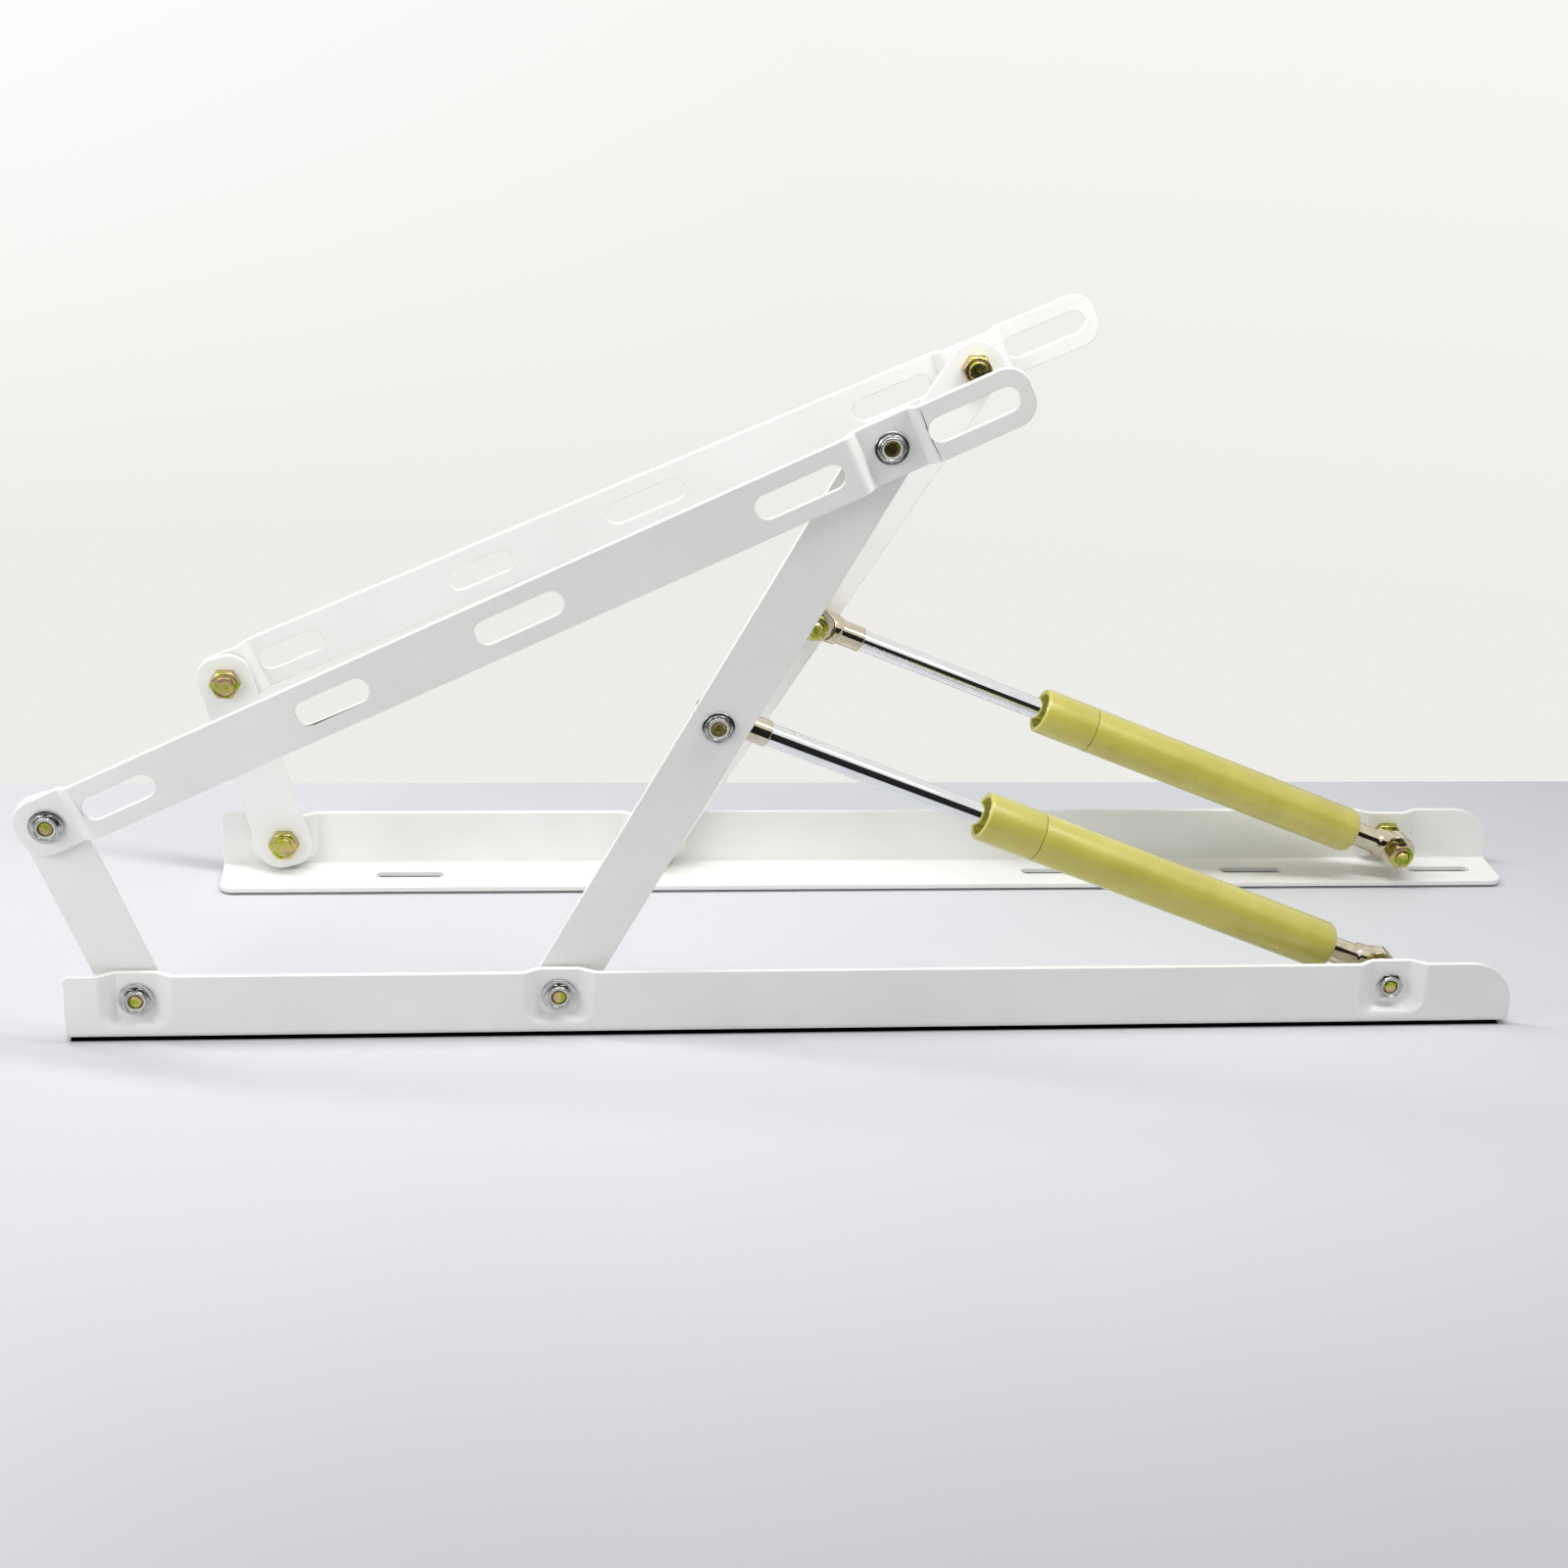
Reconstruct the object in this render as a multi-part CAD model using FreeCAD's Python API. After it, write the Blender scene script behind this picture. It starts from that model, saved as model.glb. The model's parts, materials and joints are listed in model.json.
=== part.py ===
import FreeCAD, Part
import math
import os

# Bed lift mechanism: a mirrored pair of four-bar units, each raised by a gas spring.
# All sizes are in millimetres and all angles in degrees.
# A unit is drawn with x along its rail from the square end, y from the outer face of the
# rail's web towards the other unit, and z up from the floor.

# Angle rail and flat bars, all pressed from one sheet thickness
sheet_thickness = 3.0
rail_length = 750.0
rail_web_height = 35.0
rail_flange_width = 35.0
rail_bend_radius = 4.5
rail_heel_radius = 3.0
rail_nose_radius = 24.0
rail_flange_corner_radius = 7.0
bar_width = 30.0
bar_end_margin = 15.0
bar_corner_radius = 12.0
arm_corner_radius = 14.0

# Pivot positions on the rail and pivot distances along the bars
pivot_height = 20.5
short_link_pivot_x = 35.0
main_arm_pivot_x = 246.0
gas_spring_pivot_x = 684.0
short_link_length = 102.0
main_arm_length = 328.0
top_bar_span = 448.0
spring_stud_distance = 164.0

# Pose shown and the place of the second unit
near_arm_angle = 61.9
far_arm_angle = 59.1
web_to_web = 206.0
far_rail_shift = 60.5

# Slots for screws: centre along the rail or the bar, length and width
flange_slot_centres = (106.0, 481.0, 601.0, 716.0)
flange_slot_length = 38.0
flange_slot_width = 7.0
flange_slot_offset = 17.5
short_slot_centres = (39.5, 154.0)
short_slot_length = 38.0
long_slot_centres = (253.0, 400.0, 490.0)
long_slot_length = 46.0
bar_slot_width = 12.5
top_bar_tail = 72.0

# Pressed joggles that seat the pivots
joggle_depth = 5.0
bar_pad_half = 13.5
bar_pad_ramp = 4.5
bar_bend_radius = 1.5
rail_pad_half = 9.8
rail_pad_ramp = 8.0
rail_pad_drop = 10.3
rail_pad_foot_ramp = 3.6
rail_pad_corner_radius = 4.0
rail_pad_bend_radius = 2.2
rail_pad_front_rim_radius = 3.0
rail_pad_back_rim_radius = 1.0

# Pivot bolts, washers and nuts
shoulder_diameter = 10.0
thread_diameter = 8.0
thread_tip_chamfer = 1.0
bolt_head_flats = 17.0
bolt_head_height = 6.4
bolt_boss_diameter = 11.0
bolt_boss_height = 0.8
spacer_washer_diameter = 18.0
spacer_washer_thickness = 1.0
seat_washer_diameter = 17.6
seat_washer_thickness = 1.5
nut_flats = 13.0
lock_nut_height = 5.0
lock_nut_hex_height = 3.4
lock_nut_flange_diameter = 17.0
lock_nut_flange_thickness = 1.2
lock_nut_collar_diameter = 12.6
lock_nut_collar_edge = 1.2
lock_nut_mouth_diameter = 9.8
lock_nut_mouth_depth = 0.8
insert_thickness = 1.4
insert_diameter = 10.8
plain_nut_height = 6.5
full_thread_reach = 4.0
sunk_thread_reach = 2.4
free_thread_end = 1.8

# Gas spring, measured from the pivot on the rail towards the pivot on the arm
spring_offset = 28.0
tube_start = 31.0
tube_length = 175.5
tube_diameter = 26.0
tube_wall = 1.5
tube_foot_radius = 4.0
tube_foot_thickness = 5.0
collar_seam = 0.4
collar_length = 31.7
collar_lip_radius = 1.5
collar_mouth_diameter = 20.0
collar_mouth_depth = 8.0
collar_spigot_length = 6.0
rod_diameter = 12.0
rod_end_gap = 29.0
piston_thickness = 9.0
piston_groove_width = 3.0
piston_groove_depth = 1.5
piston_to_seal = 6.0
guide_length = 10.0
seal_thickness = 4.0
eye_diameter = 20.0
eye_thickness = 10.0
neck_diameter = 14.0
neck_root_diameter = 16.5
neck_root_length = 3.0
neck_taper = 2.0
fitting_stud_length = 10.0
stud_hex_height = 6.0
stud_waist_diameter = 13.0
stud_disc_diameter = 16.0
stud_disc_thickness = 2.0

# Clearances
running_gap = 0.3
bore_clearance = 0.05
hole_clearance = 0.4

# Layers of one unit, from the outer face of the web inwards
pad_face = joggle_depth
pad_back = pad_face + sheet_thickness
link_face = pad_back + spacer_washer_thickness + running_gap
link_back = link_face + sheet_thickness
head_seat = link_back + running_gap
eye_face = spring_offset - eye_thickness / 2
eye_back = spring_offset + eye_thickness / 2
arm_stud_end = spring_offset - neck_root_diameter / 2 - running_gap
washered_seat = pad_face - seat_washer_thickness

# Holes that follow from the bolts
thread_hole = thread_diameter + hole_clearance
thread_bore = thread_diameter + 2 * bore_clearance
shoulder_bore = shoulder_diameter + 2 * bore_clearance
cut_margin = 1.0

origin = FreeCAD.Vector(0, 0, 0)
along_x = FreeCAD.Vector(1, 0, 0)
inward = FreeCAD.Vector(0, 1, 0)
outward = FreeCAD.Vector(0, -1, 0)
upward = FreeCAD.Vector(0, 0, 1)


def linkage(arm_angle):
    """Pivot centres (x, z) of one unit with its main arm at arm_angle from the rail."""
    turn = math.radians(arm_angle)
    link_base = (short_link_pivot_x, pivot_height)
    arm_base = (main_arm_pivot_x, pivot_height)
    arm_tip = (arm_base[0] + main_arm_length * math.cos(turn),
               arm_base[1] + main_arm_length * math.sin(turn))
    stud = (arm_base[0] + spring_stud_distance * math.cos(turn),
            arm_base[1] + spring_stud_distance * math.sin(turn))
    reach_x = arm_tip[0] - link_base[0]
    reach_z = arm_tip[1] - link_base[1]
    reach = math.hypot(reach_x, reach_z)
    foot = (short_link_length ** 2 - top_bar_span ** 2 + reach ** 2) / (2 * reach)
    rise = math.sqrt(short_link_length ** 2 - foot ** 2)
    link_tip = (link_base[0] + (foot * reach_x - rise * reach_z) / reach,
                link_base[1] + (foot * reach_z + rise * reach_x) / reach)
    return {"link_base": link_base, "arm_base": arm_base, "link_tip": link_tip,
            "arm_tip": arm_tip, "stud": stud, "spring_base": (gas_spring_pivot_x, pivot_height)}


def slope(start, end):
    """Angle from x of the line between two (x, z) points."""
    return math.degrees(math.atan2(end[1] - start[1], end[0] - start[0]))


def rounded_wire(corners):
    """Closed wire through (point, radius) corners, each rounded by its radius."""
    turns = []
    for index, (point, radius) in enumerate(corners):
        if not radius:
            turns.append((point, point, None))
            continue
        before = (corners[index - 1][0] - point).normalize()
        after = (corners[(index + 1) % len(corners)][0] - point).normalize()
        half_angle = before.getAngle(after) / 2
        tangent = radius / math.tan(half_angle)
        crest = point + (before + after).normalize() * (radius / math.sin(half_angle) - radius)
        start = point + before * tangent
        end = point + after * tangent
        turns.append((start, end, Part.Arc(start, crest, end).toShape()))
    edges = []
    for index, (start, end, arc) in enumerate(turns):
        previous_end = turns[index - 1][1]
        if previous_end.distanceToPoint(start) > 1e-6:
            edges.append(Part.makeLine(previous_end, start))
        if arc:
            edges.append(arc)
    return Part.Wire(Part.__sortEdges__(edges))


def plate(corners, y_start, y_end):
    """Plate between two y levels with an outline of (x, z, radius) corners."""
    wire = rounded_wire([(FreeCAD.Vector(x, y_start, z), radius) for x, z, radius in corners])
    return Part.Face(wire).extrude(inward * (y_end - y_start))


def turned(profile):
    """Solid of revolution round the z axis, from (radius, height, corner radius) points."""
    wire = rounded_wire([(FreeCAD.Vector(r, 0, h), corner) for r, h, corner in profile])
    return Part.Solid(Part.Face(wire).revolve(origin, upward, 360))


def disc(diameter, height, bottom=0.0):
    """Plain cylinder on the z axis."""
    return Part.makeCylinder(diameter / 2, height, FreeCAD.Vector(0, 0, bottom))


def cross_pin(diameter, y_start, y_end, x=0.0, z=0.0):
    """Cylinder along y between two levels, for a cross hole or the eye round it."""
    return Part.makeCylinder(diameter / 2, y_end - y_start, FreeCAD.Vector(x, y_start, z), inward)


def stand(shape, pivot, level, direction):
    """Moves a shape drawn up the z axis to an (x, z) pivot at a y level, along a direction."""
    shape.Placement = FreeCAD.Placement(FreeCAD.Vector(pivot[0], level, pivot[1]),
                                        FreeCAD.Rotation(upward, direction))
    return shape


def lay(bar, pivot, angle):
    """Moves a bar drawn along x so that its first hole is at an (x, z) pivot, sloping by angle."""
    bar.Placement = FreeCAD.Placement(FreeCAD.Vector(pivot[0], 0, pivot[1]),
                                      FreeCAD.Rotation(outward, angle))
    return bar


def slot_cutter(centre_x, length, width, y_end):
    """Cutter for a round-ended slot along x, through everything below a y level."""
    side = width / 2
    reach = length / 2 - side
    depth = y_end + 2 * cut_margin
    middle = Part.makeBox(2 * reach, depth, width, FreeCAD.Vector(centre_x - reach, -cut_margin, -side))
    ends = [cross_pin(width, -cut_margin, y_end + cut_margin, centre_x + shift) for shift in (-reach, reach)]
    return middle.fuse(ends).removeSplitter()


def bar_outline(start, end, corner, y_start, y_end):
    """Plate of the bar's width from start to end along x, with four rounded corners."""
    half = bar_width / 2
    corners = [(start, -half, corner), (end, -half, corner), (end, half, corner), (start, half, corner)]
    return plate(corners, y_start, y_end)


def rail_pad(x, level):
    """Tapered block of a pressed seat: its hollow from level 0, its bulge from the sheet's back."""
    side_grow = level * math.tan(math.atan2(joggle_depth, rail_pad_ramp) / 2)
    foot_grow = level * math.tan(math.atan2(joggle_depth, rail_pad_foot_ramp) / 2)
    deepest = level + joggle_depth
    past_top = rail_web_height + bar_width
    wires = []
    for y in (level - cut_margin, deepest):
        climb = (deepest - y) / joggle_depth
        half = rail_pad_half + side_grow + rail_pad_ramp * climb
        foot = pivot_height - rail_pad_drop - foot_grow - rail_pad_foot_ramp * climb
        corner = rail_pad_corner_radius + foot_grow + rail_pad_foot_ramp * climb
        wires.append(rounded_wire([
            (FreeCAD.Vector(x - half, y, foot), corner),
            (FreeCAD.Vector(x + half, y, foot), corner),
            (FreeCAD.Vector(x + half, y, past_top), 0),
            (FreeCAD.Vector(x - half, y, past_top), 0)]))
    block = Part.makeLoft(wires, True, True)
    bends = [edge for edge in block.Edges if edge.BoundBox.YMin > deepest - 0.01]
    return block.makeFillet(rail_pad_bend_radius + level, bends)


def pad_rims(rail, level):
    """Edges where the pressed seats meet a face of the web."""
    rims = []
    for edge in rail.Edges:
        box = edge.BoundBox
        on_face = abs(box.YMin - level) < 0.01 and abs(box.YMax - level) < 0.01
        on_web = box.ZMin > rail_bend_radius + 0.01 and box.ZMin < rail_web_height - 0.01
        if on_face and on_web and box.XMin > cut_margin and box.XMax < rail_length - cut_margin:
            rims.append(edge)
    return rims


def base_rail():
    """Folded angle with a rounded nose, slotted flange and three pressed pivot seats."""
    section = rounded_wire([
        (FreeCAD.Vector(0, 0, rail_web_height), 0),
        (FreeCAD.Vector(0, 0, 0), rail_bend_radius),
        (FreeCAD.Vector(0, rail_flange_width, 0), 0),
        (FreeCAD.Vector(0, rail_flange_width, sheet_thickness), 0),
        (FreeCAD.Vector(0, sheet_thickness, sheet_thickness), rail_bend_radius - sheet_thickness),
        (FreeCAD.Vector(0, sheet_thickness, rail_web_height), 0)])
    seats = (short_link_pivot_x, main_arm_pivot_x, gas_spring_pivot_x)
    rail = Part.Face(section).extrude(along_x * rail_length)
    rail = rail.fuse([rail_pad(x, sheet_thickness) for x in seats]).removeSplitter()
    trim = Part.makeBox(rail_length, rail_flange_width, rail_web_height)
    rail = rail.common(trim).cut([rail_pad(x, 0.0) for x in seats]).removeSplitter()
    rail = rail.makeFillet(rail_pad_front_rim_radius, pad_rims(rail, 0))
    rail = rail.makeFillet(rail_pad_back_rim_radius, pad_rims(rail, sheet_thickness))
    side_view = plate([(0, 0, 0), (rail_length, 0, 0), (rail_length, rail_web_height, rail_nose_radius),
                       (0, rail_web_height, rail_heel_radius)],
                      -cut_margin, rail_flange_width + cut_margin)
    top_view = plate([(0, -rail_flange_width, rail_flange_corner_radius),
                      (rail_length, -rail_flange_width, rail_flange_corner_radius),
                      (rail_length, cut_margin, 0), (0, cut_margin, 0)],
                     -cut_margin, rail_web_height + cut_margin)
    top_view.rotate(origin, along_x, 90)
    holes = [cross_pin(thread_hole, 0, pad_back + cut_margin, x, pivot_height) for x in seats]
    slots = []
    for x in flange_slot_centres:
        slot = slot_cutter(x, flange_slot_length, flange_slot_width, sheet_thickness)
        slot.rotate(origin, along_x, 90)
        slot.translate(inward * flange_slot_offset)
        slots.append(slot)
    return rail.common(side_view).common(top_view).cut(holes + slots)


def flat_bar(pivot_distance, corner, holes):
    """Straight bar with rounded ends; holes are (distance from the first pivot, diameter)."""
    bar = bar_outline(-bar_end_margin, pivot_distance + bar_end_margin, corner, link_face, link_back)
    return bar.cut([cross_pin(size, link_face - cut_margin, link_back + cut_margin, x) for x, size in holes])


def top_bar():
    """Slotted bar for the bed frame, joggled inwards where it is pinned to link and arm."""
    crease = sheet_thickness * math.tan(math.atan2(joggle_depth, bar_pad_ramp) / 2)
    foot = bar_pad_half + bar_pad_ramp
    start = -bar_end_margin
    end = top_bar_span + top_bar_tail
    # Bends along the outer face: x, y, and how far the same bend is shifted on the inner face
    bends = [(bar_pad_half, joggle_depth, crease), (foot, 0, crease),
             (top_bar_span - foot, 0, -crease), (top_bar_span - bar_pad_half, joggle_depth, -crease),
             (top_bar_span + bar_pad_half, joggle_depth, crease), (top_bar_span + foot, 0, crease)]
    low = -bar_width / 2
    tight = bar_bend_radius
    wide = bar_bend_radius + sheet_thickness
    outer_face = [(FreeCAD.Vector(start, joggle_depth, low), 0)]
    inner_face = [(FreeCAD.Vector(start, pad_back, low), 0)]
    for x, y, shift in bends:
        outer_face.append((FreeCAD.Vector(x, y, low), tight if y else wide))
        inner_face.append((FreeCAD.Vector(x + shift, y + sheet_thickness, low), wide if y else tight))
    outer_face.append((FreeCAD.Vector(end, 0, low), 0))
    inner_face.append((FreeCAD.Vector(end, sheet_thickness, low), 0))
    strip = Part.Face(rounded_wire(outer_face + inner_face[::-1])).extrude(upward * bar_width)
    outline = bar_outline(start, end, bar_corner_radius, -cut_margin, pad_back + cut_margin)
    cutters = [slot_cutter(x, short_slot_length, bar_slot_width, pad_back) for x in short_slot_centres]
    cutters += [slot_cutter(x, long_slot_length, bar_slot_width, pad_back) for x in long_slot_centres]
    cutters += [cross_pin(thread_hole, 0, pad_back + cut_margin, x) for x in (0, top_bar_span)]
    return strip.common(outline).cut(cutters)


def hexagon(flats, height, bottom=0.0, both_ends=False):
    """Hexagonal block up the z axis with the corners of its top turned off, or of both ends."""
    corner = flats / math.sqrt(3)
    face_radius = 0.475 * flats
    fall = (corner - face_radius) * math.tan(math.radians(30))
    points = []
    for side in range(7):
        angle = math.radians(60 * side)
        points.append(FreeCAD.Vector(corner * math.cos(angle), corner * math.sin(angle), bottom))
    block = Part.Face(Part.makePolygon(points)).extrude(upward * height)
    top = bottom + height
    lower = [(face_radius, bottom, 0), (corner, bottom + fall, 0)] if both_ends else [(corner, bottom, 0)]
    blank = turned([(0, bottom, 0)] + lower + [(corner, top - fall, 0), (face_radius, top, 0), (0, top, 0)])
    return block.common(blank)


def threaded_end(length, bottom=0.0):
    """Threaded end of a bolt up the z axis, drawn at the thread's outer size."""
    radius = thread_diameter / 2
    top = bottom + length
    return turned([(0, bottom, 0), (radius, bottom, 0), (radius, top - thread_tip_chamfer, 0),
                   (radius - thread_tip_chamfer, top, 0), (0, top, 0)])


def bolt_head():
    """Hexagon head with a raised round centre, down the z axis from its seat at height zero."""
    head = hexagon(bolt_head_flats, bolt_head_height)
    boss_top = bolt_head_height + bolt_boss_height
    boss = turned([(0, 0, 0), (bolt_boss_diameter / 2, 0, 0),
                   (bolt_boss_diameter / 2, boss_top, bolt_boss_height / 2), (0, boss_top, 0)])
    head = head.fuse(boss).removeSplitter()
    head.rotate(origin, along_x, 180)
    return head


def pivot_bolt(seat, reach):
    """Bolt up the z axis: shoulder through the link, then thread to reach past the nut's seat."""
    shoulder = head_seat - pad_back
    pieces = [disc(shoulder_diameter, shoulder), threaded_end(pad_back - seat + reach, shoulder)]
    return bolt_head().fuse(pieces).removeSplitter()


def lock_nut(flanged=False):
    """Low hexagon nut up the z axis with a rolled collar round the recess for its insert."""
    collar = lock_nut_collar_diameter / 2
    rolled = turned([(0, 0, 0), (collar, 0, 0), (collar, lock_nut_height, lock_nut_collar_edge),
                     (0, lock_nut_height, 0)])
    insert_top = lock_nut_height - lock_nut_mouth_depth
    bore = disc(thread_bore, lock_nut_height + 2 * cut_margin, -cut_margin)
    recess = disc(insert_diameter, insert_thickness, insert_top - insert_thickness)
    mouth = disc(lock_nut_mouth_diameter, lock_nut_mouth_depth + cut_margin, insert_top)
    body = hexagon(nut_flats, lock_nut_hex_height).fuse(rolled)
    if flanged:
        body = body.fuse(disc(lock_nut_flange_diameter, lock_nut_flange_thickness))
    return body.removeSplitter().cut([bore, recess, mouth])


def nut_insert():
    """Nylon ring in the lock nut's recess."""
    bottom = lock_nut_height - lock_nut_mouth_depth - insert_thickness
    bore = disc(thread_bore, insert_thickness + 2 * cut_margin, bottom - cut_margin)
    return disc(insert_diameter, insert_thickness, bottom).cut(bore)


def plain_nut():
    nut = hexagon(nut_flats, plain_nut_height, both_ends=True)
    return nut.cut(disc(thread_bore, plain_nut_height + 2 * cut_margin, -cut_margin))


def washer(outer, inner, thickness):
    return disc(outer, thickness).cut(disc(inner, thickness + 2 * cut_margin, -cut_margin))


def stud_base(plate_face, top):
    """Stud up the z axis from the outer face of its plate: thread, hexagon, waist and disc."""
    thread = threaded_end(sheet_thickness + sunk_thread_reach)
    thread.rotate(origin, along_x, 180)
    thread.translate(upward * sheet_thickness)
    end = top - plate_face
    hexed = hexagon(bolt_head_flats, stud_hex_height, sheet_thickness, both_ends=True)
    waist = disc(stud_waist_diameter, end - sheet_thickness, sheet_thickness)
    end_disc = disc(stud_disc_diameter, stud_disc_thickness, end - stud_disc_thickness)
    return thread.fuse([hexed, waist, end_disc]).removeSplitter()


def rail_spring_stud():
    """Stud on the rail, whose pin carries the eye of the cylinder between disc and nut."""
    disc_top = eye_face - running_gap
    nut_seat = eye_back + running_gap
    pin = disc(thread_diameter, nut_seat - disc_top, disc_top - pad_face)
    end = threaded_end(plain_nut_height + free_thread_end, nut_seat - pad_face)
    return stud_base(pad_face, disc_top).fuse([pin, end]).removeSplitter()


def rod_eye_pin():
    """Outer half of the arm's stud, from its disc to the thread for the nut on the rod's eye."""
    disc_height = eye_face - arm_stud_end - running_gap
    pin = disc(thread_diameter, eye_thickness, disc_height)
    end = threaded_end(plain_nut_height + free_thread_end, disc_height + eye_thickness)
    return disc(stud_disc_diameter, disc_height).fuse([pin, end]).removeSplitter()


def eye_fitting(reach):
    """Forged eye round the y axis with a neck up the z axis, tapped where it ends at reach."""
    eye_radius = eye_diameter / 2
    root = neck_root_diameter / 2
    root_start = eye_radius + cut_margin
    root_end = root_start + neck_root_length
    eye = cross_pin(eye_diameter, -eye_thickness / 2, eye_thickness / 2)
    neck = turned([(0, eye_radius / 2, 0), (root, eye_radius / 2, 0), (root, root_end, 0),
                   (neck_diameter / 2, root_end + neck_taper, 0), (neck_diameter / 2, reach, 0),
                   (0, reach, 0)])
    throat = turned([(0, 0, 0), ((eye_radius + root) / 2, 0, 0), (root, root_end, 0), (0, root_end, 0)])
    cheeks = [cross_pin(2 * root_start, eye_thickness / 2, eye_diameter),
              cross_pin(2 * root_start, -eye_diameter, -eye_thickness / 2)]
    bore = cross_pin(thread_bore, -eye_thickness, eye_thickness)
    tapped = disc(thread_bore, fitting_stud_length + cut_margin, reach - fitting_stud_length)
    shank = neck.fuse(throat).cut(cheeks)
    return eye.fuse(shank).cut([bore, tapped]).removeSplitter()


def spring_length(pivots):
    """Distance between the two pivots of the gas spring."""
    start = pivots["spring_base"]
    end = pivots["stud"]
    return math.hypot(end[0] - start[0], end[1] - start[1])


def cylinder_tube():
    """Pressure tube with a closed, rounded foot and the stud that its eye is screwed on."""
    outer = tube_diameter / 2
    inner = outer - tube_wall
    stud = thread_diameter / 2
    stud_end = tube_start - fitting_stud_length
    top = tube_start + tube_length
    return turned([(0, stud_end, 0), (stud, stud_end, 0), (stud, tube_start, 0),
                   (outer, tube_start, tube_foot_radius), (outer, top, 0), (inner, top, 0),
                   (inner, tube_start + tube_foot_thickness, 0), (0, tube_start + tube_foot_thickness, 0)])


def collar_levels():
    """Where the end cap's spigot begins, where its outer skin begins and where it ends."""
    skin = tube_start + tube_length + collar_seam
    return skin - collar_spigot_length, skin, skin + collar_length


def cylinder_collar():
    """End cap on the tube's open end, with a deep mouth round the rod."""
    spigot_end, skin, top = collar_levels()
    outer = tube_diameter / 2
    spigot = outer - tube_wall
    bore = rod_diameter / 2 + running_gap
    mouth = collar_mouth_diameter / 2
    mouth_floor = top - collar_mouth_depth
    return turned([(bore, spigot_end, 0), (spigot, spigot_end, 0), (spigot, skin, 0), (outer, skin, 0),
                   (outer, top, collar_lip_radius), (mouth, top, 0), (mouth, mouth_floor, 0),
                   (bore, mouth_floor, 0)])


def bush(length, top):
    """Ring between rod and tube that ends at the given distance from the pivot."""
    outer = tube_diameter / 2 - tube_wall
    bore = rod_diameter / 2 + bore_clearance
    return turned([(bore, top - length, 0), (outer, top - length, 0), (outer, top, 0), (bore, top, 0)])


def piston_level(length):
    """Top of the piston when the spring's pivots are this far apart."""
    fully_out = collar_levels()[0] - guide_length - seal_thickness - piston_to_seal
    return fully_out - (spring_length(linkage(near_arm_angle)) - length)


def piston_rod(length):
    """Rod with a turned-down end for the piston and a stud for its eye."""
    bottom = piston_level(length)
    top = length - rod_end_gap
    radius = rod_diameter / 2
    stud = thread_diameter / 2
    return turned([(0, bottom - piston_thickness, 0), (stud, bottom - piston_thickness, 0),
                   (stud, bottom, 0), (radius, bottom, 0), (radius, top, 0), (stud, top, 0),
                   (stud, top + fitting_stud_length, 0), (0, top + fitting_stud_length, 0)])


def piston(length):
    """Grooved piston on the rod's turned-down end."""
    top = piston_level(length)
    bottom = top - piston_thickness
    rim = tube_diameter / 2 - tube_wall - 2 * bore_clearance
    groove = rim - piston_groove_depth
    groove_low = bottom + (piston_thickness - piston_groove_width) / 2
    groove_high = groove_low + piston_groove_width
    stud = thread_diameter / 2
    return turned([(stud, bottom, 0), (rim, bottom, 0), (rim, groove_low, 0), (groove, groove_low, 0),
                   (groove, groove_high, 0), (rim, groove_high, 0), (rim, top, 0), (stud, top, 0)])


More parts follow.
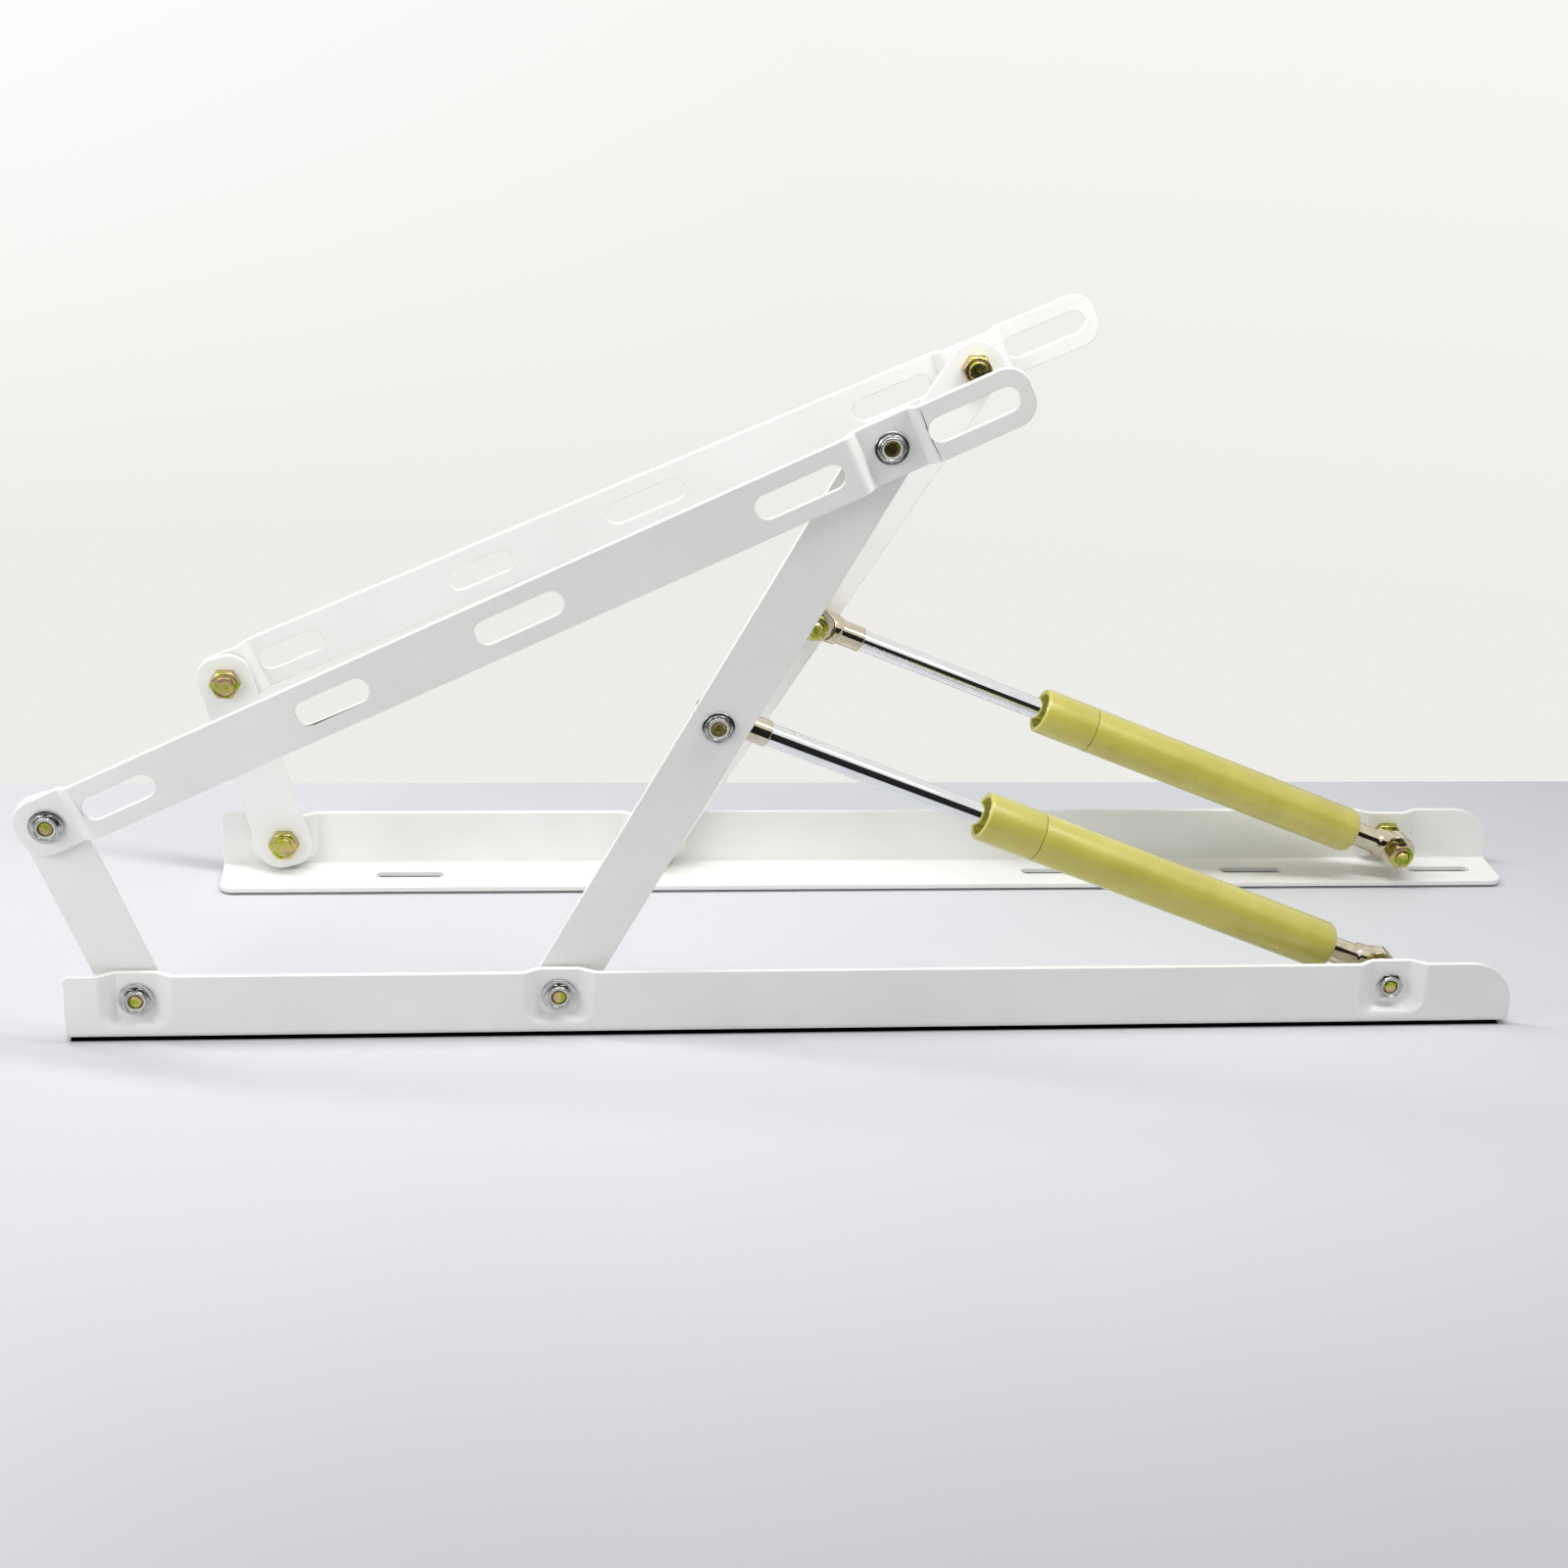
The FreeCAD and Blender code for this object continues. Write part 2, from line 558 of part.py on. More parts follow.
def frame_nodes(pivots, arm_angle):
    """Rail, bars and everything that pins them together, as node name to a list of solids."""
    link_base = pivots["link_base"]
    arm_base = pivots["arm_base"]
    link_tip = pivots["link_tip"]
    arm_tip = pivots["arm_tip"]
    stud = pivots["stud"]
    base_pivots = (link_base, arm_base)
    rail_seats = [(link_base, washered_seat), (arm_base, washered_seat), (pivots["spring_base"], pad_face)]
    bar_seats = [(link_tip, washered_seat), (arm_tip, pad_face)]
    link_holes = [(0, shoulder_bore), (short_link_length, shoulder_bore)]
    arm_holes = [(0, shoulder_bore), (spring_stud_distance, thread_hole), (main_arm_length, shoulder_bore)]
    link = flat_bar(short_link_length, bar_corner_radius, link_holes)
    arm = flat_bar(main_arm_length, arm_corner_radius, arm_holes)
    nodes = {"base_rail": [base_rail()],
             "short_link": [lay(link, link_base, slope(link_base, link_tip))],
             "main_arm": [lay(arm, arm_base, arm_angle)],
             "top_bar": [lay(top_bar(), link_tip, slope(link_tip, arm_tip))]}

    # Each pivot from the outside in: lock nut, seat washer, seat, spacer washer, link, bolt head
    nodes["rail_pivot_bolts"] = [
        stand(pivot_bolt(washered_seat, full_thread_reach), at, head_seat, outward) for at in base_pivots]
    nodes["rail_spacer_washers"] = [
        stand(washer(spacer_washer_diameter, shoulder_bore, spacer_washer_thickness), at, pad_back, inward)
        for at in base_pivots]
    nodes["rail_seat_washers"] = [
        stand(washer(seat_washer_diameter, thread_hole, seat_washer_thickness), at, pad_face, outward)
        for at in base_pivots]
    nodes["rail_lock_nuts"] = [stand(lock_nut(), at, seat, outward) for at, seat in rail_seats]
    nodes["rail_nut_inserts"] = [stand(nut_insert(), at, seat, outward) for at, seat in rail_seats]
    nodes["bar_pivot_bolt"] = [stand(pivot_bolt(pad_face, sunk_thread_reach), arm_tip, head_seat, outward)]
    nodes["bar_lock_nuts"] = [stand(lock_nut(at is arm_tip), at, seat, outward) for at, seat in bar_seats]
    nodes["bar_nut_inserts"] = [stand(nut_insert(), at, seat, outward) for at, seat in bar_seats]

    # The linkage is opened at the pivot between link and bar, so its bolt is in two pieces
    split = link_face - running_gap
    thread = threaded_end(split - washered_seat + full_thread_reach)
    nodes["bar_pivot_thread"] = [stand(thread, link_tip, split, outward)]
    head = bolt_head().fuse(disc(shoulder_diameter, head_seat - link_face)).removeSplitter()
    nodes["link_pivot_bolt"] = [stand(head, link_tip, head_seat, outward)]
    seat_washer = washer(seat_washer_diameter, thread_hole, seat_washer_thickness)
    link_spacer = washer(spacer_washer_diameter, thread_hole, spacer_washer_thickness)
    arm_spacer = washer(spacer_washer_diameter, shoulder_bore, spacer_washer_thickness)
    nodes["bar_washers"] = [stand(seat_washer, link_tip, pad_face, outward),
                            stand(link_spacer, link_tip, pad_back, inward),
                            stand(arm_spacer, arm_tip, pad_back, inward)]

    nodes["arm_spring_stud"] = [stand(stud_base(link_face, arm_stud_end), stud, link_face, inward)]
    nodes["arm_lock_nut"] = [stand(lock_nut(flanged=True), stud, link_face, outward)]
    nodes["arm_nut_insert"] = [stand(nut_insert(), stud, link_face, outward)]
    return nodes


def spring_nodes(pivots):
    """Gas spring and its studs, as node name to a list of solids."""
    start = pivots["spring_base"]
    end = pivots["stud"]
    length = spring_length(pivots)
    direction = FreeCAD.Vector(end[0] - start[0], 0, end[1] - start[1]).normalize()
    guide_top = collar_levels()[0]
    nodes = {"cylinder_tube": cylinder_tube(), "cylinder_collar": cylinder_collar(),
             "rod_guide": bush(guide_length, guide_top),
             "rod_seal": bush(seal_thickness, guide_top - guide_length),
             "piston_rod": piston_rod(length), "piston": piston(length),
             "cylinder_eye": eye_fitting(tube_start)}
    for solid in nodes.values():
        stand(solid, start, spring_offset, direction)
    nodes["rod_eye"] = stand(eye_fitting(rod_end_gap), end, spring_offset, direction * -1)
    nodes["rod_eye_pin"] = stand(rod_eye_pin(), end, arm_stud_end + running_gap, inward)
    nodes["rod_eye_nut"] = stand(plain_nut(), end, eye_back, inward)
    nodes["rail_spring_stud"] = stand(rail_spring_stud(), start, pad_face, inward)
    nodes["rail_stud_nut"] = stand(plain_nut(), start, eye_back + running_gap, inward)
    return {name: [solid] for name, solid in nodes.items()}


def near_place(solid):
    """Puts a unit's piece in the model's frame, whose origin is under the near main-arm pivot."""
    moved = solid.copy()
    moved.translate(FreeCAD.Vector(-main_arm_pivot_x, -rail_flange_width / 2, 0))
    return moved


def far_place(solid):
    """The same for the mirrored unit across the bed."""
    moved = solid.mirror(origin, inward)
    moved.translate(FreeCAD.Vector(far_rail_shift - main_arm_pivot_x, web_to_web - rail_flange_width / 2, 0))
    return moved


def model():
    nodes = {}
    for side, arm_angle, place in (("near", near_arm_angle, near_place), ("far", far_arm_angle, far_place)):
        pivots = linkage(arm_angle)
        unit = {**frame_nodes(pivots, arm_angle), **spring_nodes(pivots)}
        for name, solids in unit.items():
            nodes[side + "_" + name] = [place(solid) for solid in solids]
    return nodes


def write(nodes):
    os.makedirs("parts", exist_ok=True)
    for name, solids in nodes.items():
        shape = solids[0] if len(solids) == 1 else Part.makeCompound(solids)
        if not shape.isValid():
            print("not valid:", name)
        shape.exportStep("parts/" + name + ".step")
    print(len(nodes), "nodes,", sum(len(solids) for solids in nodes.values()), "solids")


write(model())
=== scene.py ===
import json
import math
import bmesh
import bpy
from mathutils import Matrix, Vector


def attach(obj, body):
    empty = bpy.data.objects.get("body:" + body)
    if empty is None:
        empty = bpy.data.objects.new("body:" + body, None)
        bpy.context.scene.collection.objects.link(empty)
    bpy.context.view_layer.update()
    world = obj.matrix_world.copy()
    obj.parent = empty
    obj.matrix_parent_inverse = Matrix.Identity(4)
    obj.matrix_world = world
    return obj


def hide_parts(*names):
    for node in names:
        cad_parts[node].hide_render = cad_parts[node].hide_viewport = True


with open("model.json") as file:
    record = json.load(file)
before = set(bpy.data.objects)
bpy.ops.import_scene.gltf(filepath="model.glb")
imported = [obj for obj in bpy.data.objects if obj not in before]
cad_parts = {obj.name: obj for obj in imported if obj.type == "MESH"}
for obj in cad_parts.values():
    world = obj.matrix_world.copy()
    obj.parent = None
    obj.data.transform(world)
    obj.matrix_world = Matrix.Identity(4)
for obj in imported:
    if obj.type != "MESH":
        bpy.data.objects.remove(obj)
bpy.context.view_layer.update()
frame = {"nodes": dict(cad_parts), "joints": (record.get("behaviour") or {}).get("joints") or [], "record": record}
scene = bpy.context.scene
scene.view_settings.view_transform = "Standard"
nodes = frame["nodes"]
sides = ("near", "far")
print("frame loaded,", len(nodes), "CAD nodes")


def hexColour(code):
    # sRGB hex to the linear values that shaders want
    parts = [int(code[i:i + 2], 16) / 255 for i in (1, 3, 5)]
    return tuple(p / 12.92 if p <= 0.04045 else ((p + 0.055) / 1.055) ** 2.4 for p in parts) + (1.0,)


def addNode(tree, kind, settings=None, links=None):
    # a settings key is a socket's name or number, or else a property of the node
    node = tree.nodes.new(kind)
    for key, value in (settings or {}).items():
        if isinstance(key, int) or key in node.inputs:
            node.inputs[key].default_value = value
        else:
            setattr(node, key, value)
    for key, source in (links or {}).items():
        tree.links.new(source, node.inputs[key])
    return node


def perSize(mm):
    # noise scale at which one lump is about this many millimetres
    return 1000 / mm


# Camera, from the photograph: the rail's ends and the pivots give its place
cameraSetup = {
    "place": (-0.0401, -1.2134, 0.6481),   # metres
    "turnRight": 7.15,                     # degrees away from +Y
    "tiltDown": 22.9,
    "lean": 2.7,
    "lens": 60.6,                          # mm, on a 36 mm sensor
}


def makeCamera(setup):
    data = bpy.data.cameras.new("camera")
    data.lens = setup["lens"]
    data.sensor_width = 36
    data.clip_start = 0.05
    data.clip_end = 60
    camera = bpy.data.objects.new("camera", data)
    scene.collection.objects.link(camera)
    turn = Matrix.Rotation(-math.radians(setup["turnRight"]), 4, "Z")
    tilt = Matrix.Rotation(math.radians(90 - setup["tiltDown"]), 4, "X")
    lean = Matrix.Rotation(math.radians(setup["lean"]), 4, "Z")
    camera.matrix_world = Matrix.Translation(setup["place"]) @ turn @ tilt @ lean
    scene.camera = camera


makeCamera(cameraSetup)
print("camera done")

# Stage: a sheet of matt grey paper that ends just behind the far rail, and a pale wall beyond it
stageSetup = {
    "backEdge": 0.315,          # metres, where the paper ends
    "reach": 9.0,               # how far it goes the other ways
    "drop": 0.0016,             # below the rails' feet, for a dark line of contact
    "paper": ("#D0D1D6", "#D9DADD"),
    "middle": (0.15, 0.08, 0.0),
    "glowFrom": 0.50,           # metres from the middle, where the paper starts to glow
    "glowFull": 1.5,
    "glow": 0.52,
    "wallLow": "#EEEDE9",       # the wall just over the paper
    "wallHigh": "#F8F7F5",
    "wallRise": (-0.30, -0.08), # heights of the view's direction between which the wall gets lighter: painted light, brighter higher up
    "wallLampPool": (0.12, -0.2),  # its sideways turn between which the wall gets white: a painted pool of lamp light on the left
    "roomLight": 0.42,          # all round, where 1 would be white paper fully lit
    "softboxPower": 7.8,        # watts, just behind the near unit's faces and turned to the far one
    "softboxSize": (1.6, 0.09),
    "softboxPlace": (0.0, 0.035, 0.80),
    "softboxAim": (0.1, 0.33, 0.0),
    "fillPower": 2.3,           # a pale reflector close by, on the left
    "fillSize": (0.4, 0.4),
    "fillPlace": (-0.72, -0.40, 0.46),
    "fillAim": (-0.2, 0.0, 0.1),
    # where the painted contact shadow lies: a black sheet under the near rail
    "contact": {"ends": (-0.244, 0.500), "sides": (-0.016, -0.009), "level": -0.0012},
    "flagEnds": (-1.1, 1.3),
    "frontFlag": (-0.33, 0.42),  # place along Y and height
    "backFlag": (0.80, 0.13),
}


def makeFloor(setup):
    bm = bmesh.new()
    reach = setup["reach"]
    corners = [(-reach, -reach), (reach, -reach), (reach, setup["backEdge"]), (-reach, setup["backEdge"])]
    bm.faces.new([bm.verts.new((x, y, -setup["drop"])) for x, y in corners])
    mesh = bpy.data.meshes.new("floor")
    bm.to_mesh(mesh)
    floor = bpy.data.objects.new("floor", mesh)
    scene.collection.objects.link(floor)
    paper = bpy.data.materials.new("mattBackgroundPaper")   # uncoated paper: no gloss, a faint fibre
    paper.use_nodes = True
    tree = paper.node_tree
    shader = tree.nodes["Principled BSDF"]
    place = addNode(tree, "ShaderNodeTexCoord")
    cloud = addNode(tree, "ShaderNodeTexNoise", {"Scale": perSize(420), "Detail": 2.0},
                    {"Vector": place.outputs["Object"]})
    tone = addNode(tree, "ShaderNodeMix", {"data_type": "RGBA", 6: hexColour(setup["paper"][0]),
                                           7: hexColour(setup["paper"][1])}, {0: cloud.outputs["Fac"]})
    tree.links.new(tone.outputs[2], shader.inputs["Base Color"])
    shader.inputs["Roughness"].default_value = 0.85
    shader.inputs["Specular IOR Level"].default_value = 0.15
    # far out the paper runs into the wall's own light, so no dark plain shows round the set
    away = addNode(tree, "ShaderNodeVectorMath", {"operation": "DISTANCE", 1: setup["middle"]},
                   {0: place.outputs["Object"]})
    glow = addNode(tree, "ShaderNodeMapRange", {"interpolation_type": "SMOOTHSTEP", "From Min": setup["glowFrom"],
                                                "From Max": setup["glowFull"], "To Max": setup["glow"]},
                   {"Value": away.outputs["Value"]})
    shader.inputs["Emission Color"].default_value = hexColour(setup["wallLow"])
    tree.links.new(glow.outputs["Result"], shader.inputs["Emission Strength"])
    mesh.materials.append(paper)


def makeContactShadow(setup):
    # painted contact shadow: a near-black sheet under the near rail's front edge, which draws a dark line of shade
    # under it
    low, high = setup["ends"]
    front, back = setup["sides"]
    bm = bmesh.new()
    corners = [(low, front), (high, front), (high, back), (low, back)]
    bm.faces.new([bm.verts.new((x, y, setup["level"])) for x, y in corners])
    mesh = bpy.data.meshes.new("paintedContactShadowStrip")
    bm.to_mesh(mesh)
    strip = bpy.data.objects.new("paintedContactShadowStrip", mesh)
    scene.collection.objects.link(strip)
    shadowPaint = bpy.data.materials.new("paintedContactShadow")
    shadowPaint.use_nodes = True
    shader = shadowPaint.node_tree.nodes["Principled BSDF"]
    # near-black: painted shadow, standing for the shade under the rail
    shader.inputs["Base Color"].default_value = hexColour("#060606")
    shader.inputs["Roughness"].default_value = 1.0
    shader.inputs["Specular IOR Level"].default_value = 0.0
    mesh.materials.append(shadowPaint)


def makeArea(name, size, power, place, aim):
    data = bpy.data.lights.new(name, "AREA")
    data.shape = "RECTANGLE"
    data.size = size[0]
    data.size_y = size[1]
    data.energy = power
    lamp = bpy.data.objects.new(name, data)
    scene.collection.objects.link(lamp)
    lamp.visible_camera = False
    lamp.location = place
    lamp.rotation_euler = (Vector(aim) - Vector(place)).to_track_quat("-Z", "Y").to_euler()


def makeWorld(setup):
    world = bpy.data.worlds.new("studio")
    scene.world = world
    world.use_nodes = True
    tree = world.node_tree
    tree.nodes.clear()
    place = addNode(tree, "ShaderNodeTexCoord")
    axes = addNode(tree, "ShaderNodeSeparateXYZ", links={"Vector": place.outputs["Generated"]})
    # painted light on the wall that camera and metal see: lighter higher up, and white in a painted pool of lamp
    # light at the upper left
    low, high = setup["wallRise"]
    height = addNode(tree, "ShaderNodeMapRange", {"From Min": low, "From Max": high}, {"Value": axes.outputs["Z"]})
    plainSide, whiteSide = setup["wallLampPool"]
    aside = addNode(tree, "ShaderNodeMapRange", {"From Min": plainSide, "From Max": whiteSide},
                    {"Value": axes.outputs["X"]})
    plain = addNode(tree, "ShaderNodeMix", {"data_type": "RGBA", 6: hexColour(setup["wallLow"]),
                                            7: hexColour(setup["wallHigh"])}, {0: height.outputs["Result"]})
    nearLamp = addNode(tree, "ShaderNodeMath", {"operation": "MULTIPLY"},
                       {0: height.outputs["Result"], 1: aside.outputs["Result"]})
    wall = addNode(tree, "ShaderNodeMix", {"data_type": "RGBA", 7: hexColour("#FFFFFF")},
                   {0: nearLamp.outputs[0], 6: plain.outputs[2]})
    room = addNode(tree, "ShaderNodeBackground", {"Color": hexColour("#FFFFFF"), "Strength": setup["roomLight"]})
    seen = addNode(tree, "ShaderNodeBackground", {"Strength": 1.0}, {"Color": wall.outputs[2]})
    ray = addNode(tree, "ShaderNodeLightPath")
    mirrored = addNode(tree, "ShaderNodeMath", {"operation": "MAXIMUM"},
                       {0: ray.outputs["Is Glossy Ray"], 1: ray.outputs["Is Transmission Ray"]})
    shown = addNode(tree, "ShaderNodeMath", {"operation": "MAXIMUM"},
                    {0: ray.outputs["Is Camera Ray"], 1: mirrored.outputs[0]})
    mix = addNode(tree, "ShaderNodeMixShader", links={"Fac": shown.outputs[0], 1: room.outputs[0],
                                                      2: seen.outputs[0]})
    addNode(tree, "ShaderNodeOutputWorld", links={"Surface": mix.outputs[0]})


def makeFlag(name, ends, place):
    # black card, seen in metal only: it gives the chrome its dark line
    left, right = ends
    y, high = place
    bm = bmesh.new()
    corners = [(left, y, 0.0), (right, y, 0.0), (right, y, high), (left, y, high)]
    bm.faces.new([bm.verts.new(corner) for corner in corners])
    mesh = bpy.data.meshes.new(name)
    bm.to_mesh(mesh)
    flag = bpy.data.objects.new(name, mesh)
    scene.collection.objects.link(flag)
    card = bpy.data.materials.new("blackCard")
    card.use_nodes = True
    shader = card.node_tree.nodes["Principled BSDF"]
    shader.inputs["Base Color"].default_value = hexColour("#0B0B0C")
    shader.inputs["Roughness"].default_value = 1.0
    mesh.materials.append(card)
    flag.visible_camera = False
    flag.visible_diffuse = False
    flag.visible_shadow = False


makeFloor(stageSetup)
makeContactShadow(stageSetup["contact"])
makeArea("softbox", stageSetup["softboxSize"], stageSetup["softboxPower"], stageSetup["softboxPlace"],
         stageSetup["softboxAim"])
makeArea("fill", stageSetup["fillSize"], stageSetup["fillPower"], stageSetup["fillPlace"],
         stageSetup["fillAim"])
makeWorld(stageSetup)
makeFlag("frontFlag", stageSetup["flagEnds"], stageSetup["frontFlag"])
makeFlag("backFlag", stageSetup["flagEnds"], stageSetup["backFlag"])
print("stage done")


def newMaterial(name, colour, roughness, metallic=0.0, ior=1.5):
    material = bpy.data.materials.new(name)
    material.use_nodes = True
    shader = material.node_tree.nodes["Principled BSDF"]
    shader.inputs["Base Color"].default_value = hexColour(colour)
    shader.inputs["Roughness"].default_value = roughness
    shader.inputs["Metallic"].default_value = metallic
    if metallic < 0.5:
        shader.inputs["IOR"].default_value = ior
    return material, material.node_tree, shader


def mottle(tree, sizeMm, detail=2.0, offset=0.0):
    # soft lumps of one size, fixed to the piece
    place = addNode(tree, "ShaderNodeTexCoord")
    shift = addNode(tree, "ShaderNodeMapping", {"Location": (offset, offset, offset)},
                    {"Vector": place.outputs["Object"]})
    return addNode(tree, "ShaderNodeTexNoise", {"Scale": perSize(sizeMm), "Detail": detail},
                   {"Vector": shift.outputs["Vector"]}).outputs["Fac"]


def spread(tree, value, low, high):
    return addNode(tree, "ShaderNodeMapRange", {"From Min": 0.3, "From Max": 0.7, "To Min": low, "To Max": high},
                   {"Value": value}).outputs["Result"]


def blendColours(tree, factor, first, second):
    mix = addNode(tree, "ShaderNodeMix", {"data_type": "RGBA", 6: hexColour(first), 7: hexColour(second)},
                  {0: factor})
    return mix.outputs[2]


def bump(tree, height, depthMm, under=None):
    node = addNode(tree, "ShaderNodeBump", {"Strength": 1.0, "Distance": depthMm / 1000}, {"Height": height})
    if under:
        tree.links.new(under, node.inputs["Normal"])
    return node.outputs["Normal"]


# Powder coat: polyester powder, sprayed dry and baked; it gives a satin skin with orange peel
powderCoat = {
    "thick": "#F3F3F1",
    "thin": "#EDEDEA",
    "roughness": (0.30, 0.42),
    "cloudSize": 55,       # mm, of paler and darker areas
    "glossSize": 18,       # mm, of duller and glossier ones
    "peelSize": 2.4,       # mm between lumps of the peel
    "peelDepth": 0.016,    # mm
    "grainSize": 0.9,      # real grain is 0.1 mm, drawn coarse so that it shows
    "grainDepth": 0.003,
}


def makePowderCoat(setup):
    material, tree, shader = newMaterial("whitePowderCoat", setup["thick"], 0.36, ior=1.52)
    cloud = mottle(tree, setup["cloudSize"], 3.0)
    tree.links.new(blendColours(tree, spread(tree, cloud, 0, 1), setup["thick"], setup["thin"]),
                   shader.inputs["Base Color"])
    rough = mottle(tree, setup["glossSize"], 3.0, 0.3)
    tree.links.new(spread(tree, rough, *setup["roughness"]), shader.inputs["Roughness"])
    grain = bump(tree, mottle(tree, setup["grainSize"], 2.0, 0.7), setup["grainDepth"])
    tree.links.new(bump(tree, mottle(tree, setup["peelSize"], 1.0), setup["peelDepth"], grain),
                   shader.inputs["Normal"])
    return material


# Stoved enamel: wet-sprayed lime paint on drawn tube, baked under a clear coat; it gives a soft broad highlight
limeEnamel = {
    "full": "#C8C155",
    "deep": "#BBB347",
    "roughness": (0.27, 0.36),
    "clear": (1.0, 0.36),  # weight and roughness of the clear coat
    "cloudSize": 22,       # mm
    "glossSize": 9,
    "stippleSize": 1.3,
    "stippleDepth": 0.006,
}


def makeLimeEnamel(setup):
    material, tree, shader = newMaterial("stovedLimeEnamel", setup["full"], 0.38, ior=1.5)
    weight, coatRoughness = setup["clear"]
    shader.inputs["Coat Weight"].default_value = weight
    shader.inputs["Coat Roughness"].default_value = coatRoughness
    cloud = mottle(tree, setup["cloudSize"], 3.0)
    tree.links.new(blendColours(tree, spread(tree, cloud, 0, 1), setup["full"], setup["deep"]),
                   shader.inputs["Base Color"])
    tree.links.new(spread(tree, mottle(tree, setup["glossSize"], 2.0, 0.2), *setup["roughness"]),
                   shader.inputs["Roughness"])
    tree.links.new(bump(tree, mottle(tree, setup["stippleSize"], 2.0), setup["stippleDepth"]),
                   shader.inputs["Normal"])
    return material


# Plated steels: the base metal's colour and gloss, with the small stains that plating leaves
platedSteel = {
    "brightZinc": {"colours": ("#CDCDCB", "#B0B1B1"), "roughness": (0.12, 0.26), "stain": 3.5, "depth": 0.003},
    "nickelPlate": {"colours": ("#D9D1BC", "#C4B89C"), "roughness": (0.05, 0.13), "stain": 6.0, "depth": 0.002},
    "hardChrome": {"colours": ("#EDEEF0", "#E2E4E7"), "roughness": (0.04, 0.08), "stain": 9.0, "depth": 0.0},
}


def makePlated(name, setup):
    material, tree, shader = newMaterial(name, setup["colours"][0], setup["roughness"][0], 1.0)
    stain = mottle(tree, setup["stain"], 3.0)
    tree.links.new(blendColours(tree, spread(tree, stain, 0, 1), *setup["colours"]), shader.inputs["Base Color"])
    tree.links.new(spread(tree, mottle(tree, setup["stain"] * 0.6, 2.0, 0.4), *setup["roughness"]),
                   shader.inputs["Roughness"])
    if setup["depth"]:
        tree.links.new(bump(tree, mottle(tree, setup["stain"] * 0.4, 2.0, 0.8), setup["depth"]),
                       shader.inputs["Normal"])
    return material


# Yellow chromate over zinc, dipped; it gives straw to green and pink bands
yellowChromate = {
    "bands": ("#86A036", "#B4B845", "#CBBF74", "#CBA48E", "#8CAD52"),
    "bandSize": 5.0,       # mm
    "glossSize": 2.5,
    "roughness": (0.18, 0.34),
}


def makeYellowChromate(setup):
    material, tree, shader = newMaterial("yellowChromatedZinc", setup["bands"][1], 0.25, 1.0)
    swirl = spread(tree, mottle(tree, setup["bandSize"], 2.0), 0, 1)
    ramp = addNode(tree, "ShaderNodeValToRGB", links={"Fac": swirl})
    ramp.color_ramp.elements[0].color = hexColour(setup["bands"][0])
    ramp.color_ramp.elements[1].color = hexColour(setup["bands"][-1])
    for index, code in enumerate(setup["bands"][1:-1], 1):
        ramp.color_ramp.elements.new(index / (len(setup["bands"]) - 1)).color = hexColour(code)
    tree.links.new(ramp.outputs["Color"], shader.inputs["Base Color"])
    tree.links.new(spread(tree, mottle(tree, setup["glossSize"], 2.0, 0.5), *setup["roughness"]),
                   shader.inputs["Roughness"])
    return material


# Inner parts: moulded nylon, sintered bronze, moulded rubber and turned aluminium
innerParts = {
    "mouldedNylon": {"colours": ("#E3E4DC", "#D3D4CB"), "roughness": (0.35, 0.5), "metallic": 0.0, "grain": 2.0},
    "sinteredBronze": {"colours": ("#B58B4C", "#A17A40"), "roughness": (0.35, 0.5), "metallic": 1.0, "grain": 0.8},
    "mouldedRubber": {"colours": ("#1B1B1C", "#242425"), "roughness": (0.55, 0.7), "metallic": 0.0, "grain": 1.5},
    "turnedAluminium": {"colours": ("#CDD0D3", "#BEC1C5"), "roughness": (0.25, 0.4), "metallic": 1.0, "grain": 1.0},
}


def makeInner(name, setup):
    material, tree, shader = newMaterial(name, setup["colours"][0], setup["roughness"][0], setup["metallic"])
    grain = mottle(tree, setup["grain"], 2.0)
    tree.links.new(blendColours(tree, spread(tree, grain, 0, 1), *setup["colours"]), shader.inputs["Base Color"])
    tree.links.new(spread(tree, mottle(tree, setup["grain"] * 2, 2.0, 0.4), *setup["roughness"]),
                   shader.inputs["Roughness"])
    tree.links.new(bump(tree, grain, 0.004), shader.inputs["Normal"])
    return material


finishes = {
    "white_powder_coat": makePowderCoat(powderCoat),
    "lime_coat": makeLimeEnamel(limeEnamel),
    "bright_zinc": makePlated("brightZinc", platedSteel["brightZinc"]),
    "yellow_zinc": makeYellowChromate(yellowChromate),
    "nickel_plate": makePlated("nickelPlate", platedSteel["nickelPlate"]),
    "hard_chrome": makePlated("hardChrome", platedSteel["hardChrome"]),
    "white_nylon": makeInner("mouldedNylon", innerParts["mouldedNylon"]),
    "guide_bronze": makeInner("sinteredBronze", innerParts["sinteredBronze"]),
    "black_rubber": makeInner("mouldedRubber", innerParts["mouldedRubber"]),
    "machined_aluminium": makeInner("turnedAluminium", innerParts["turnedAluminium"]),
}

for node in nodes.values():
    for slot in node.material_slots:
        slot.material = finishes[slot.material.name]
print("finishes done")

# Sheet metal: the shear leaves square edges, and the thick coat rounds them
sheetEdge = {
    "kinds": ("base_rail", "short_link", "main_arm", "top_bar"),
    "round": 0.55,         # mm
    "segments": 3,
    "angle": 55,           # degrees, below which an edge is a bend and stays
}


